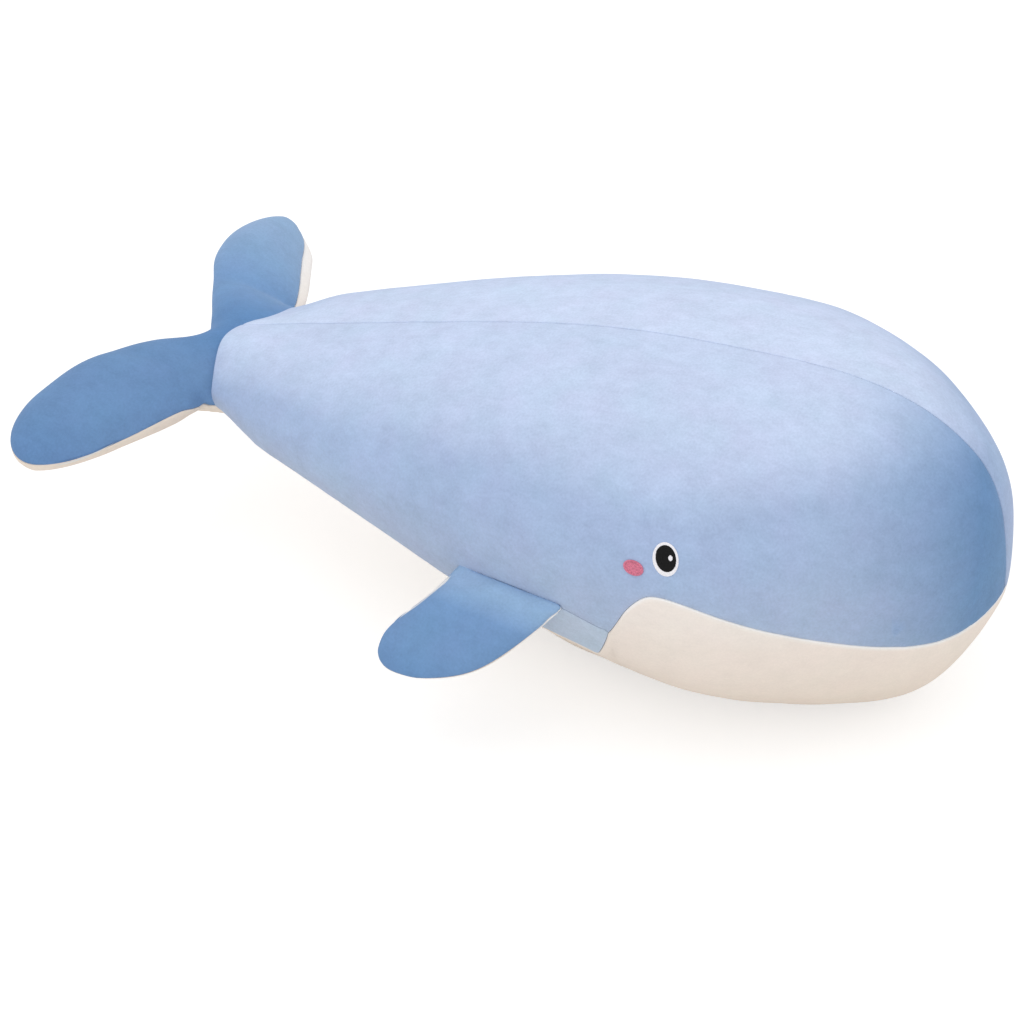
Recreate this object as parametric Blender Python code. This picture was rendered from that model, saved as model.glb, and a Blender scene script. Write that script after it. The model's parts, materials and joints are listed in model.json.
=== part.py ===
"""Plush whale: a stuffed body with sewn side, belly and flank panels, flukes, two flippers and eyes.

Metres, +Z up. The head points to +X and the toy lies on its belly at z = 0. Every fabric piece is a
thin closed shell that follows the same grid of facets as the stuffing under it. The tail and the
flippers turn about the seams that sew them on, so their roots are round about those axes.
"""
import math

import bpy
import bmesh
import numpy as np
from mathutils import Vector
from mathutils.bvhtree import BVHTree

# Overall sizes of the stuffed body
BODY_LENGTH = 0.80
BODY_WIDTH = 0.452
BODY_HEIGHT = 0.347
TAIL_MOUTH_WIDTH = 0.184
TAIL_MOUTH_HEIGHT = 0.090
TAIL_MOUTH_LIFT = 0.175
REST_SAG = 0.0005

# Fabric and clearances
CLOTH = 0.0016
PAD_GAP = 0.0008
SEAM_GAP = 0.0008
SEAM_DIP = 0.0010
SOCKET_GAP = 0.0014
SOCKET_LIP = 0.008
HOLLOW_RING_SHARES = (1, 0.95, 0.84, 0.64, 0.35)

# Body sections from nose to tail mouth. Each row: place along the body as the square root of its
# share of the length, half width as a share of half the body width, then crown, widest line and keel
# as shares of the body height. The last row takes its heights from the tail mouth.
NOSE_HEIGHT_SHARE = 0.435
SECTION_SHARES = (
    (0.12, 0.235, 0.715, 0.475, 0.311),
    (0.25, 0.456, 0.879, 0.510, 0.101),
    (0.40, 0.739, 0.988, 0.545, 0.012),
    (0.55, 0.985, 1.000, 0.568, 0.000),
    (0.63, 1.000, 0.985, 0.575, 0.001),
    (0.70, 0.965, 0.960, 0.579, 0.000),
    (0.85, 0.779, 0.827, 0.560, 0.190),
)
SECTION_POWER = 2.1
STATION_SHARES = (
    0.065, 0.13, 0.195, 0.26, 0.325, 0.39, 0.455, 0.51, 0.55, 0.58, 0.593, 0.602, 0.611, 0.620,
    0.632, 0.65, 0.675, 0.703, 0.74, 0.765, 0.787, 0.82, 0.86, 0.905, 0.95,
)
SIDE_COLUMNS = 8
FLANK_COLUMNS = 1
BELLY_COLUMNS = 5
REST_PATCH_DEG = 4

# Belly seam, measured round each section from the crown, with the step behind the chin patch
BELLY_SEAM_PLACE_SHARES = (
    0.0, 0.10, 0.18, 0.25, 0.35, 0.40, 0.48, 0.55, 0.58, 0.593, 0.602, 0.611, 0.620, 0.632, 0.70,
    0.85, 1.0,
)
BELLY_SEAM_DEG = (
    118, 116, 110, 105, 100, 96, 91, 84, 83, 86, 91, 96, 103, 112, 111,
    112, 106,
)
# The flank gusset lies above the belly seam, and its upper edge is the slit that holds the flipper
GUSSET_FRONT_SHARE = 0.620
GUSSET_REAR_SHARE = 0.787
SLIT_PLACE_SHARES = (0.0, 0.50, 0.60, 0.620, 0.632, 0.65, 0.70, 0.74, 0.775, 0.787, 1.0)
SLIT_ABOVE_SEAM_DEG = (8, 8, 3, 1.5, 10.5, 12, 13, 12, 9, 8, 8)

# Tail flukes: rows of facets run across the tail, first over its root in the tail mouth and then from
# there to the tip. Edges are shares of half the span and of the reach.
TAIL_SPAN = 0.507
TAIL_REACH = 0.138
FLUKE_THICKNESS = 0.060
FLUKE_DROOP = 0.020
TAIL_PITCH_DEG = 10
TAIL_TURN_SHARE = 0.18
FLUKE_ROOT_FULLNESS_SHARE = 0.4
ROOT_ROW_SHARES = (0.0, 0.30, 0.57, 0.79, 0.93)
FLUKE_ROW_SHARES = (0.0, 0.07, 0.19, 0.33, 0.48, 0.63, 0.77, 0.87, 0.945)
FLUKE_TIP_SHARES = (1.0, 0.74)
LEADING_SIDE_SHARES = (0.38, 0.53, 0.70, 0.85, 0.95, 1.0)
LEADING_BACK_SHARES = (0.035, 0.14, 0.275, 0.42, 0.555, 0.74)
TRAILING_SIDE_SHARES = (0.0, 0.115, 0.24, 0.365, 0.48, 0.62, 0.75, 0.87, 0.95, 1.0)
TRAILING_BACK_SHARES = (0.39, 0.51, 0.675, 0.81, 0.92, 0.985, 1.0, 0.96, 0.89, 0.74)

# Flippers: rows run along the sewn base, and edges are shares of the base length and of the reach
FIN_BASE_SHARES = (0.773, 0.669)
FIN_REACH = 0.113
FIN_THICKNESS = 0.034
FIN_DROOP_DEG = 35
FIN_ROOT_RADIUS = 0.0042
FIN_GAP = 0.0003
FIN_ROW_SHARES = (-0.79, -0.71, -0.61, -0.50, -0.41, -0.28, -0.12, 0.04, 0.19, 0.33, 0.44)
FIN_TIP_SHARES = (-0.83, 0.77)
FIN_CORNER_SHARES = (0.50, 0.02)
FIN_NEAR_PLACE_SHARES = (-0.83, -0.78, -0.67, -0.565, -0.50)
FIN_NEAR_SHARES = (0.77, 0.52, 0.37, 0.18, 0.0)
FIN_FAR_PLACE_SHARES = (-0.83, -0.81, -0.74, -0.63, -0.43, -0.27, -0.11, 0.03, 0.16, 0.27, 0.38, 0.50)
FIN_FAR_SHARES = (0.77, 0.89, 0.97, 1.0, 0.99, 0.93, 0.85, 0.75, 0.63, 0.47, 0.30, 0.02)

# Swing that each root is rounded for
TAIL_SWING_DEG = 20
FIN_SWING_DEG = 50
EDGE_RADIUS = 0.003
LIMB_COLUMNS = 5
ROOT_COLUMNS = 6
AXIS_STEPS = 4
AXIS_SAMPLES = 24

# Embroidered eyes and cheeks
EYE_FROM_NOSE = 0.259
EYE_HEIGHT = 0.253
EYE_TILT_DEG = 13
EYE_WHITE_WIDTH = 0.0255
EYE_WHITE_HEIGHT = 0.0320
PUPIL_WIDTH = 0.0197
PUPIL_HEIGHT = 0.0262
GLINT_SIZE = 0.0056
GLINT_FORWARD = 0.0042
GLINT_UP = 0.0008
CHEEK_FROM_NOSE = 0.287
CHEEK_HEIGHT = 0.239
CHEEK_LENGTH = 0.0215
CHEEK_DEPTH = 0.0145
CHEEK_TILT_DEG = 25
STITCH_HEIGHT = 0.0009
STITCH_GAP = 0.0008
STITCH_RINGS = 2
STITCH_SIDES = 16

# Finishes: colour, roughness
FINISHES = {
    "light_blue_plush": ((0.50, 0.60, 0.82), 0.95),
    "gusset_plush": ((0.42, 0.52, 0.64), 0.95),
    "mid_blue_plush": ((0.20, 0.36, 0.60), 0.95),
    "cream_plush": ((0.82, 0.75, 0.66), 0.95),
    "white_thread": ((0.90, 0.90, 0.92), 0.60),
    "black_thread": ((0.02, 0.02, 0.02), 0.55),
    "pink_thread": ((0.75, 0.26, 0.38), 0.60),
    "fibre_fill": ((0.88, 0.88, 0.86), 1.00),
}


def clear_scene():
    for item in list(bpy.data.objects):
        bpy.data.objects.remove(item, do_unlink=True)


def make_finish(name):
    colour, roughness = FINISHES[name]
    material = bpy.data.materials.get(name) or bpy.data.materials.new(name)
    material.use_nodes = True
    shader = material.node_tree.nodes["Principled BSDF"]
    shader.inputs["Base Color"].default_value = (*colour, 1.0)
    shader.inputs["Roughness"].default_value = roughness
    shader.inputs["Metallic"].default_value = 0.0
    return material


def smooth_curve(places, values, at):
    """Natural cubic spline through (places, values), read at one or more places."""
    x = np.asarray(places, float)
    y = np.asarray(values, float)
    at = np.asarray(at, float)
    step = np.diff(x)
    count = len(x)
    system = np.eye(count)
    right = np.zeros(count)
    for k in range(1, count - 1):
        system[k, k - 1:k + 2] = step[k - 1], 2 * (step[k - 1] + step[k]), step[k]
        right[k] = 6 * ((y[k + 1] - y[k]) / step[k] - (y[k] - y[k - 1]) / step[k - 1])
    bend = np.linalg.solve(system, right)
    span = np.clip(np.searchsorted(x, at) - 1, 0, count - 2)
    before = at - x[span]
    after = x[span + 1] - at
    width = step[span]
    curved = (bend[span] * after ** 3 + bend[span + 1] * before ** 3) / (6 * width)
    start = (y[span] / width - bend[span] * width / 6) * after
    end = (y[span + 1] / width - bend[span + 1] * width / 6) * before
    return curved + start + end


def fluke_edge(side_share, sides, backs):
    """How far back an edge of the flukes lies, as a share of the reach."""
    return float(np.interp(side_share, sides, backs))


def turned_back(back, side):
    """The soft tail lies turned a little, which carries the right fluke further back."""
    return back - TAIL_TURN_SHARE * side / (TAIL_SPAN / 2) * max(back - ROOT_HEIGHT, 0.0)


def spindle_radius(side, half_width, half_height):
    """Radius about the tail's hinge line of a round root, at a distance from its middle."""
    inside = 1 - (abs(side) / half_width) ** SECTION_POWER
    return half_height * max(inside, 0.0) ** (1 / SECTION_POWER)


# The tail's root fits inside the fabric of the body's tail mouth
ROOT_WIDTH = TAIL_MOUTH_WIDTH / 2 - CLOTH - SOCKET_GAP
ROOT_HEIGHT = TAIL_MOUTH_HEIGHT / 2 - CLOTH - SOCKET_GAP

# The origin is under the middle of the whole toy, from the nose to the furthest point of a fluke
LONGEST_REACH = max(
    turned_back(TAIL_REACH * back, -TAIL_SPAN / 2 * side)
    for side, back in zip(TRAILING_SIDE_SHARES, TRAILING_BACK_SHARES)
)
NOSE_X = (BODY_LENGTH + LONGEST_REACH) / 2
MOUTH_X = NOSE_X - BODY_LENGTH


def rounded(value):
    """A sine or cosine bent to the sections' slightly square round."""
    return math.copysign(abs(value) ** (2 / SECTION_POWER), value)


class BodySurface:
    """The outer form of the stuffed body, as sections from the nose to the tail mouth."""

    def __init__(self):
        nose = (0.0, 0.0, NOSE_HEIGHT_SHARE, NOSE_HEIGHT_SHARE, NOSE_HEIGHT_SHARE)
        mouth_half = TAIL_MOUTH_HEIGHT / 2
        mouth = (
            1.0,
            TAIL_MOUTH_WIDTH / BODY_WIDTH,
            (TAIL_MOUTH_LIFT + mouth_half) / BODY_HEIGHT,
            TAIL_MOUTH_LIFT / BODY_HEIGHT,
            (TAIL_MOUTH_LIFT - mouth_half) / BODY_HEIGHT,
        )
        self.rows = np.array((nose, *SECTION_SHARES, mouth))

    def point(self, place, angle):
        """Skin point at a place along the body and an angle from the crown, on the right side."""
        width, crown, waist, keel = (
            float(smooth_curve(self.rows[:, 0], self.rows[:, k], place)) for k in range(1, 5)
        )
        out = abs(rounded(math.sin(angle)))
        rise = abs(rounded(math.cos(angle)))
        middle = waist * BODY_HEIGHT
        if math.cos(angle) > 0:
            height = middle + (crown - waist) * BODY_HEIGHT * rise
        else:
            height = middle - (waist - keel) * BODY_HEIGHT * rise - REST_SAG * rise
        along = NOSE_X - BODY_LENGTH * place ** 2
        return np.array((along, -width * BODY_WIDTH / 2 * out, max(height, 0.0)))


def belly_seam_angle(place):
    return math.radians(np.interp(place, BELLY_SEAM_PLACE_SHARES, BELLY_SEAM_DEG))


def slit_angle(place):
    above = math.radians(np.interp(place, SLIT_PLACE_SHARES, SLIT_ABOVE_SEAM_DEG))
    return belly_seam_angle(place) - above


def facet_normals(points, faces):
    """Unit outward normal at each point of a form, from the faces that meet there."""
    normals = np.zeros((len(points), 3))
    centre = points.mean(axis=0)
    volume = 0.0
    for face in faces:
        a, b, c = (points[k] for k in face)
        cross = np.cross(b - a, c - a)
        volume += cross.dot(a - centre)
        for k in face:
            normals[k] += cross
    return math.copysign(1, volume) * normals / np.linalg.norm(normals, axis=1, keepdims=True)


def split_quad(corners):
    """One or two triangles for a cell, without the repeats that a pole makes."""
    kept = []
    for corner in corners:
        if corner not in kept:
            kept.append(corner)
    return [tuple(kept[0:1] + kept[k:k + 2]) for k in range(1, len(kept) - 1)]


def make_object(name, points, faces, finish, parent=None):
    """A closed mesh object from points and triangles, with its faces turned outwards."""
    used = sorted({k for face in faces for k in face})
    order = {k: place for place, k in enumerate(used)}
    mesh = bpy.data.meshes.new(name)
    mesh.from_pydata([tuple(points[k]) for k in used], [], [[order[k] for k in face] for face in faces])
    form = bmesh.new()
    form.from_mesh(mesh)
    bmesh.ops.recalc_face_normals(form, faces=form.faces)
    form.to_mesh(mesh)
    form.free()
    mesh.materials.append(make_finish(finish))
    item = bpy.data.objects.new(name, mesh)
    bpy.context.collection.objects.link(item)
    if parent:
        item.parent = parent
        item.matrix_parent_inverse = parent.matrix_world.inverted()
    return item


def fabric_shell(name, points, normals, cells, finish, parent=None):
    """A sewn fabric piece: the cells' outer face, its inner face and the cut edge between them."""
    faces = [triangle for cell in cells for triangle in split_quad(cell)]
    edges = {}
    for face in faces:
        for a, b in zip(face, face[1:] + face[:1]):
            edges[(a, b)] = edges.get((a, b), 0) + 1
    border = [edge for edge in edges if (edge[1], edge[0]) not in edges]
    rim = {k for edge in border for k in edge}
    inward = {k: np.zeros(3) for k in rim}
    for cell in cells:
        middle = np.mean([points[k] for k in cell], axis=0)
        for k in set(cell) & rim:
            inward[k] += middle - points[k]
    count = len(points)
    outer = np.array(points)
    for k, pull in inward.items():
        outer[k] += pull / np.linalg.norm(pull) * SEAM_GAP / 2
    inner = outer - normals * CLOTH
    under = [tuple(k + count for k in reversed(face)) for face in faces]
    walls = []
    for a, b in border:
        walls.append((b, a, a + count))
        walls.append((b, a + count, b + count))
    return make_object(name, np.vstack((outer, inner)), faces + under + walls, finish, parent)


class BodyGrid:
    """The facets that the body's stuffing and its fabric panels share."""

    def __init__(self):
        surface = BodySurface()
        last = math.sqrt((BODY_LENGTH - SOCKET_LIP) / BODY_LENGTH)
        self.places = [*STATION_SHARES, last, 1.0]
        self.half = SIDE_COLUMNS + FLANK_COLUMNS + BELLY_COLUMNS
        self.around = 2 * self.half
        self.seam_column = SIDE_COLUMNS + FLANK_COLUMNS
        self.points = [surface.point(0.0, 0.0)]
        for place in self.places:
            ring = [surface.point(place, angle) for angle in self.angles(place)]
            mirrored = [point * (1, -1, 1) for point in ring[-2:0:-1]]
            self.points.extend(ring + mirrored)
        self.points = np.array(self.points)
        self.skin = [tri for cell in self.cells(0, len(self.places), 0, self.around)
                     for tri in split_quad(cell)]
        self.normals = facet_normals(self.points, self.skin)
        self.press_seams()

    def angles(self, place):
        slit = slit_angle(place)
        seam = belly_seam_angle(place)
        side = np.linspace(0, slit, SIDE_COLUMNS + 1)
        flank = np.linspace(slit, seam, FLANK_COLUMNS + 1)
        belly = np.linspace(seam, math.pi - math.radians(REST_PATCH_DEG), BELLY_COLUMNS)
        return [*side, *flank[1:], *belly[1:], math.pi]

    def key(self, station, column):
        """Index of a grid point. Station 0 is the nose."""
        if station == 0:
            return 0
        return 1 + (station - 1) * self.around + column % self.around

    def cells(self, first, last, start, stop):
        return [
            (
                self.key(row, column),
                self.key(row, column + 1),
                self.key(row + 1, column + 1),
                self.key(row + 1, column),
            )
            for row in range(first, last)
            for column in range(start, stop)
        ]

    def press_seams(self):
        """Sewing draws the crown seam and the belly seams in."""
        for station in range(1, len(self.places) + 1):
            for column in (0, self.seam_column, -self.seam_column):
                k = self.key(station, column)
                self.points[k] -= self.normals[k] * SEAM_DIP

    def station_of(self, place):
        return 1 + self.places.index(place)


def make_body_stuffing(grid):
    """Fibre fill of the body, with a round hollow behind for the root of the tail."""
    points = grid.points - grid.normals * (CLOTH + PAD_GAP)
    last = len(grid.places) - 1
    faces = [tri for cell in grid.cells(0, last, 0, grid.around) for tri in split_quad(cell)]
    points = [*points]
    half_width = ROOT_WIDTH + 2 * SOCKET_GAP
    half_height = ROOT_HEIGHT + 2 * SOCKET_GAP
    open_share = math.sqrt(1 - (SOCKET_LIP / half_height) ** 2)
    ring = [grid.key(last, column) for column in range(grid.around)]
    for share in HOLLOW_RING_SHARES:
        following = []
        for column in range(grid.around):
            turn = 2 * math.pi * column / grid.around
            y = -half_width * open_share * share * rounded(math.sin(turn))
            z = half_height * open_share * share * rounded(math.cos(turn))
            depth = math.sqrt(max(spindle_radius(y, half_width, half_height) ** 2 - z ** 2, 0.0))
            x = MOUTH_X + (SOCKET_LIP if share == 1 else max(depth, SOCKET_LIP))
            following.append(len(points))
            points.append(np.array((x, y, TAIL_MOUTH_LIFT + z)))
        for column in range(grid.around):
            beside = (column + 1) % grid.around
            faces += split_quad((ring[column], ring[beside], following[beside], following[column]))
        ring = following
    centre = len(points)
    points.append(np.array((MOUTH_X + half_height, 0.0, TAIL_MOUTH_LIFT)))
    faces += [(ring[column], ring[(column + 1) % grid.around], centre) for column in range(grid.around)]
    return make_object("body_stuffing", points, faces, "fibre_fill")


def make_body_panels(grid):
    """Two side panels that meet along the crown, a belly panel, and a gusset in each flank."""
    last = len(grid.places)
    seam = grid.seam_column
    front = grid.station_of(GUSSET_FRONT_SHARE)
    rear = grid.station_of(GUSSET_REAR_SHARE)
    for name, flip in (("right", False), ("left", True)):
        def strip(first, final, start, stop):
            if flip:
                return grid.cells(first, final, grid.around - stop, grid.around - start)
            return grid.cells(first, final, start, stop)
        side = strip(0, last, 0, SIDE_COLUMNS)
        side += strip(0, front, SIDE_COLUMNS, seam)
        side += strip(rear, last, SIDE_COLUMNS, seam)
        gusset = strip(front, rear, SIDE_COLUMNS, seam)
        fabric_shell(name + "_side_panel", grid.points, grid.normals, side, "light_blue_plush")
        fabric_shell(name + "_flank_gusset", grid.points, grid.normals, gusset, "gusset_plush")
    belly = grid.cells(0, last, seam, grid.around - seam)
    fabric_shell("belly_panel", grid.points, grid.normals, belly, "cream_plush")


def limb_section(near, far, root, swell, swing):
    """Loop of (out, up) points round a stuffed limb, from the far seam over the top and back under.

    The near end is an arc about the hinge line, so the limb can turn there without touching.
    """
    top = []
    start = near + root * math.sin(swing)
    for k in range(LIMB_COLUMNS):
        share = (1 + math.cos(math.pi * k / LIMB_COLUMNS)) / 2
        fall = root * math.cos(swing) * math.sqrt(1 - share ** 2)
        crown = swell * math.sqrt(4 * share * (1 - share))
        top.append((start + (far - start) * share, math.hypot(fall, crown)))
    arc = []
    for k in range(ROOT_COLUMNS + 1):
        turn = swing - (math.pi + 2 * swing) * k / ROOT_COLUMNS
        arc.append((near + root * math.sin(turn), root * math.cos(turn)))
    bottom = [(out, -up) for out, up in reversed(top[1:])]
    return top + arc + bottom


class LimbGrid:
    """Facets of a flat stuffed limb: sections across it, drawn to a point at both ends."""

    def __init__(self, sections, ends, place):
        self.around = len(sections[0][1])
        self.rows = len(sections)
        self.points = [place(ends[0][0], ends[0][1], 0.0)]
        for along, loop in sections:
            self.points.extend(place(along, out, up) for out, up in loop)
        self.points.append(place(ends[1][0], ends[1][1], 0.0))
        self.points = np.array(self.points)
        self.skin = [tri for cell in self.cells(0, self.around) for tri in split_quad(cell)]
        self.normals = facet_normals(self.points, self.skin)

    def key(self, row, column):
        if row == 0:
            return 0
        if row == self.rows + 1:
            return len(self.points) - 1
        return 1 + (row - 1) * self.around + column % self.around

    def cells(self, start, stop):
        return [
            (
                self.key(row, column),
                self.key(row, column + 1),
                self.key(row + 1, column + 1),
                self.key(row + 1, column),
            )
            for row in range(self.rows + 1)
            for column in range(start, stop)
        ]


def make_limb(name, grid, parent):
    """Stuffing, upper fabric and lower fabric of a limb, sewn together round its edge."""
    inside = grid.points - grid.normals * (CLOTH + PAD_GAP)
    for end in (0, -1):
        inside[end] -= grid.normals[end] * 2 * SEAM_GAP
    make_object(name + "_stuffing", inside, grid.skin, "fibre_fill", parent)
    middle = LIMB_COLUMNS + ROOT_COLUMNS // 2
    fabric_shell(name + "_top", grid.points, grid.normals, grid.cells(0, middle),
                 "mid_blue_plush", parent)
    fabric_shell(name + "_underside", grid.points, grid.normals, grid.cells(middle, grid.around),
                 "cream_plush", parent)


def make_hinge(name, centre):
    hinge = bpy.data.objects.new(name, None)
    hinge.location = centre
    bpy.context.collection.objects.link(hinge)
    bpy.context.view_layer.update()
    return hinge


def place_on_tail(side, back, up):
    """World point of the tail from its distance to the right or left, behind the mouth and up."""
    lift = max(back - ROOT_HEIGHT, 0.0) * math.tan(math.radians(TAIL_PITCH_DEG))
    past = max(abs(side) - ROOT_WIDTH, 0.0) / (TAIL_SPAN / 2 - ROOT_WIDTH)
    droop = FLUKE_DROOP * past ** 2
    return MOUTH_X - turned_back(back, side), side, TAIL_MOUTH_LIFT + up + lift - droop


def make_tail():
    half = TAIL_SPAN / 2
    swing = math.radians(TAIL_SWING_DEG)
    rows = [ROOT_WIDTH * share for share in ROOT_ROW_SHARES]
    rows += [ROOT_WIDTH + (half - ROOT_WIDTH) * share for share in FLUKE_ROW_SHARES]
    sections = []
    for side in [-side for side in reversed(rows[1:])] + rows:
        share = abs(side) / half
        far = TAIL_REACH * fluke_edge(share, TRAILING_SIDE_SHARES, TRAILING_BACK_SHARES)
        if abs(side) < ROOT_WIDTH:
            near = 0.0
            root = max(spindle_radius(side, ROOT_WIDTH, ROOT_HEIGHT), EDGE_RADIUS)
        else:
            edge = fluke_edge(share, LEADING_SIDE_SHARES, LEADING_BACK_SHARES)
            near = TAIL_REACH * edge + EDGE_RADIUS
            root = EDGE_RADIUS
        swell = FLUKE_THICKNESS / 2 * math.sqrt(min((far - near) / TAIL_REACH, 1.0))
        swell *= min(1.0, FLUKE_ROOT_FULLNESS_SHARE + share)
        sections.append((side, limb_section(near, far, root, swell, swing)))
    tip = (FLUKE_TIP_SHARES[0] * half, FLUKE_TIP_SHARES[1] * TAIL_REACH)
    grid = LimbGrid(sections, ((-tip[0], tip[1]), tip), place_on_tail)
    hinge = make_hinge("tail_hinge", (MOUTH_X, 0.0, TAIL_MOUTH_LIFT))
    make_limb("tail", grid, hinge)


def skin_tree(grid):
    return BVHTree.FromPolygons([Vector(point) for point in grid.points], grid.skin)


def skin_gap(tree, point, outward):
    """Distance from the skin, less than zero inside it."""
    nearest, _, _, distance = tree.find_nearest(point)
    return distance if outward.dot(point - nearest) > 0 else -distance


def flipper_axis(tree):
    """Rear and front ends of the right flipper's hinge line, just clear of the skin at the slit."""
    surface = BodySurface()
    ends = [Vector(surface.point(place, slit_angle(place))) for place in FIN_BASE_SHARES]
    along = (ends[1] - ends[0]).normalized()
    outward = along.cross(Vector((0, 0, 1))).normalized()
    for _ in range(AXIS_STEPS):
        places = [ends[0].lerp(ends[1], k / AXIS_SAMPLES) for k in range(AXIS_SAMPLES + 1)]
        gap = min(skin_gap(tree, place, outward) for place in places)
        ends = [end + outward * (FIN_ROOT_RADIUS + FIN_GAP - gap) for end in ends]
    return ends


def make_flipper(side_name, ends):
    """A flipper hinged along the slit, swept back and hanging a little. The left one is mirrored."""
    rear, front = ends
    mirror = -1 if side_name == "left" else 1
    centre = (rear + front) / 2
    length = (front - rear).length
    along = (front - rear).normalized()
    level = along.cross(Vector((0, 0, 1))).normalized()
    down = along.cross(level)
    droop = math.radians(FIN_DROOP_DEG)
    out = level * math.cos(droop) + down * math.sin(droop)
    up = level * math.sin(droop) - down * math.cos(droop)
    swing = math.radians(FIN_SWING_DEG)

    def place(base, reach, rise):
        point = centre + along * base + out * reach + up * rise
        return point.x, point.y * mirror, point.z

    sections = []
    for share in FIN_ROW_SHARES:
        far = FIN_REACH * float(np.interp(share, FIN_FAR_PLACE_SHARES, FIN_FAR_SHARES))
        if share < FIN_NEAR_PLACE_SHARES[-1]:
            near = FIN_REACH * float(np.interp(share, FIN_NEAR_PLACE_SHARES, FIN_NEAR_SHARES))
            near += EDGE_RADIUS
            root = EDGE_RADIUS
        else:
            near = 0.0
            root = FIN_ROOT_RADIUS
        swell = FIN_THICKNESS / 2 * math.sqrt((far - near) / FIN_REACH)
        sections.append((share * length, limb_section(near, far, root, swell, swing)))
    tip = (FIN_TIP_SHARES[0] * length, FIN_TIP_SHARES[1] * FIN_REACH)
    corner = (FIN_CORNER_SHARES[0] * length, FIN_CORNER_SHARES[1] * FIN_REACH)
    grid = LimbGrid(sections, (tip, corner), place)
    hinge = make_hinge(side_name + "_fin_hinge", place(0.0, 0.0, 0.0))
    make_limb(side_name + "_fin", grid, hinge)


def stitch_patch(name, tree, centre, size, tilt_deg, lift, finish, shift=(0.0, 0.0)):
    """A low embroidered oval that follows the skin, seen square from the side at its centre."""
    side = -1 if centre[1] < 0 else 1
    start = Vector((centre[0], side * BODY_WIDTH, centre[2]))
    place, normal, _, _ = tree.ray_cast(start, Vector((0, -side, 0)))
    if normal.y * side < 0:
        normal = -normal
    forward = Vector((1, 0, 0))
    forward = (forward - normal * forward.dot(normal)).normalized()
    up = Vector((0, 0, 1))
    up = (up - normal * up.dot(normal)).normalized()
    tilt = math.radians(tilt_deg)
    length_way = forward * math.cos(tilt) + up * math.sin(tilt)
    height_way = up * math.cos(tilt) - forward * math.sin(tilt)
    middle = place + length_way * shift[0] + height_way * shift[1]

    def on_skin(ring, step):
        turn = 2 * math.pi * step / STITCH_SIDES
        share = ring / STITCH_RINGS
        flat = middle + length_way * (math.cos(turn) * share * size[0] / 2)
        flat = flat + height_way * (math.sin(turn) * share * size[1] / 2)
        hit, _, _, _ = tree.ray_cast(flat + normal * size[1], -normal)
        return hit

    skin = [on_skin(0, 0)]
    for ring in range(1, STITCH_RINGS + 1):
        skin.extend(on_skin(ring, step) for step in range(STITCH_SIDES))
    low = [np.array(point + normal * lift) for point in skin]
    high = [np.array(point + normal * (lift + STITCH_HEIGHT)) for point in skin]

    def key(ring, step):
        return 0 if ring == 0 else 1 + (ring - 1) * STITCH_SIDES + step % STITCH_SIDES

    count = len(skin)
    faces = []
    for ring in range(STITCH_RINGS):
        for step in range(STITCH_SIDES):
            cell = (key(ring, step), key(ring + 1, step), key(ring + 1, step + 1), key(ring, step + 1))
            for tri in split_quad(cell):
                faces.append(tuple(k + count for k in tri))
                faces.append(tuple(reversed(tri)))
    for step in range(STITCH_SIDES):
        a = key(STITCH_RINGS, step)
        b = key(STITCH_RINGS, step + 1)
        faces.append((a, b, b + count))
        faces.append((a, b + count, a + count))
    make_object(name, low + high, faces, finish)


def make_face(tree):
    layer = STITCH_HEIGHT + STITCH_GAP
    for name, side in (("right", -1), ("left", 1)):
        eye = (NOSE_X - EYE_FROM_NOSE, side * BODY_WIDTH / 2, EYE_HEIGHT)
        cheek = (NOSE_X - CHEEK_FROM_NOSE, side * BODY_WIDTH / 2, CHEEK_HEIGHT)
        stitch_patch(name + "_eye_white", tree, eye, (EYE_WHITE_WIDTH, EYE_WHITE_HEIGHT),
                     EYE_TILT_DEG, STITCH_GAP, "white_thread")
        stitch_patch(name + "_eye_pupil", tree, eye, (PUPIL_WIDTH, PUPIL_HEIGHT),
                     EYE_TILT_DEG, STITCH_GAP + layer, "black_thread")
        stitch_patch(name + "_eye_glint", tree, eye, (GLINT_SIZE, GLINT_SIZE),
                     EYE_TILT_DEG, STITCH_GAP + 2 * layer, "white_thread", (GLINT_FORWARD, GLINT_UP))
        stitch_patch(name + "_cheek", tree, cheek, (CHEEK_LENGTH, CHEEK_DEPTH),
                     CHEEK_TILT_DEG, STITCH_GAP, "pink_thread")


def main():
    clear_scene()
    grid = BodyGrid()
    make_body_stuffing(grid)
    make_body_panels(grid)
    make_tail()
    tree = skin_tree(grid)
    ends = flipper_axis(tree)
    make_flipper("right", ends)
    make_flipper("left", ends)
    make_face(tree)


main()
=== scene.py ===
"""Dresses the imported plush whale: sewn and stuffed velour panels, embroidered eyes and cheeks.

Each stuffed form starts from its own CAD stuffing, whose points are raised to the fabric's surface. The
skin is rounded and swollen by a short cloth simulation that holds the seams. Then the seams are drawn in
and the skin is cut into its panels.
"""

import json
import math

import bpy
import numpy as np
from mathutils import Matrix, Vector, kdtree
from mathutils.bvhtree import BVHTree


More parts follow.
